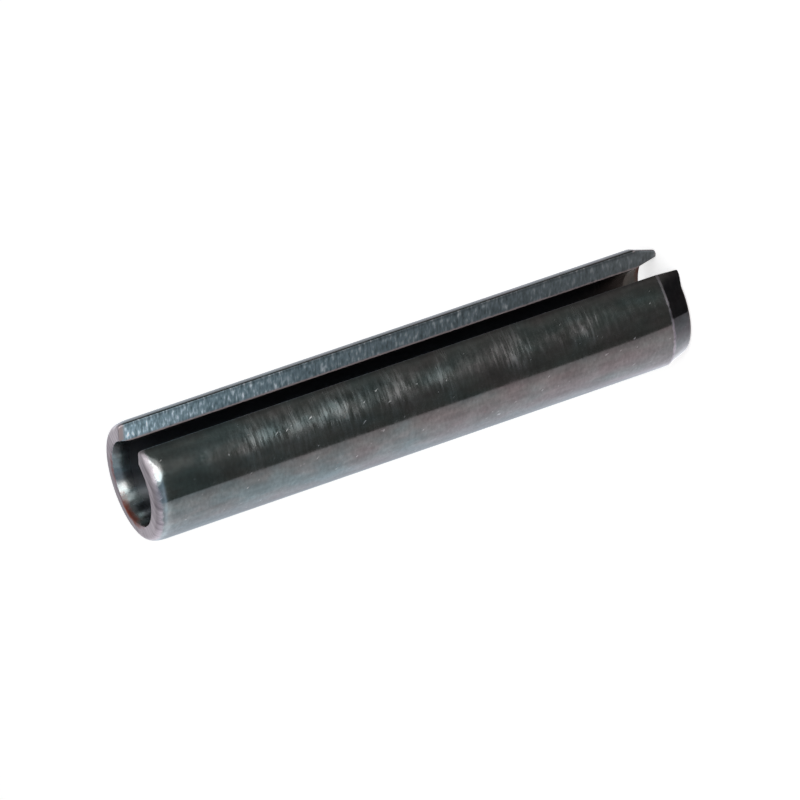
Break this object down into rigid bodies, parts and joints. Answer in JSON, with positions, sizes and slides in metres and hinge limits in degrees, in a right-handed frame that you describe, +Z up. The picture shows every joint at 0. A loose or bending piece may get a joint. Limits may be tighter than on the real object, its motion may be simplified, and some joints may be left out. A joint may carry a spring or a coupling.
{
  "type": "spring roll pin",
  "caption": "Slotted tubular spring pin of rolled spring steel with tapered ends; it is driven into a hole, closes on its slot and holds by its own spring.",
  "frame": {"origin": "where the tube's axis meets the surface that the pin stands on, at its lead end", "axes": "+Z up along the pin, from the lead end to the drive end; the slot opens towards -Y"},
  "size_m": [0.0066, 0.0063, 0.032],
  "materials": {
    "spring_steel": "blackened by heat treatment and oiled, semi-gloss, with fine scuffs around the shank and a little rust at the bore rims"
  },
  "bodies": {
    "root": {"spring_pin": "spring_steel"}
  },
  "joints": []
}
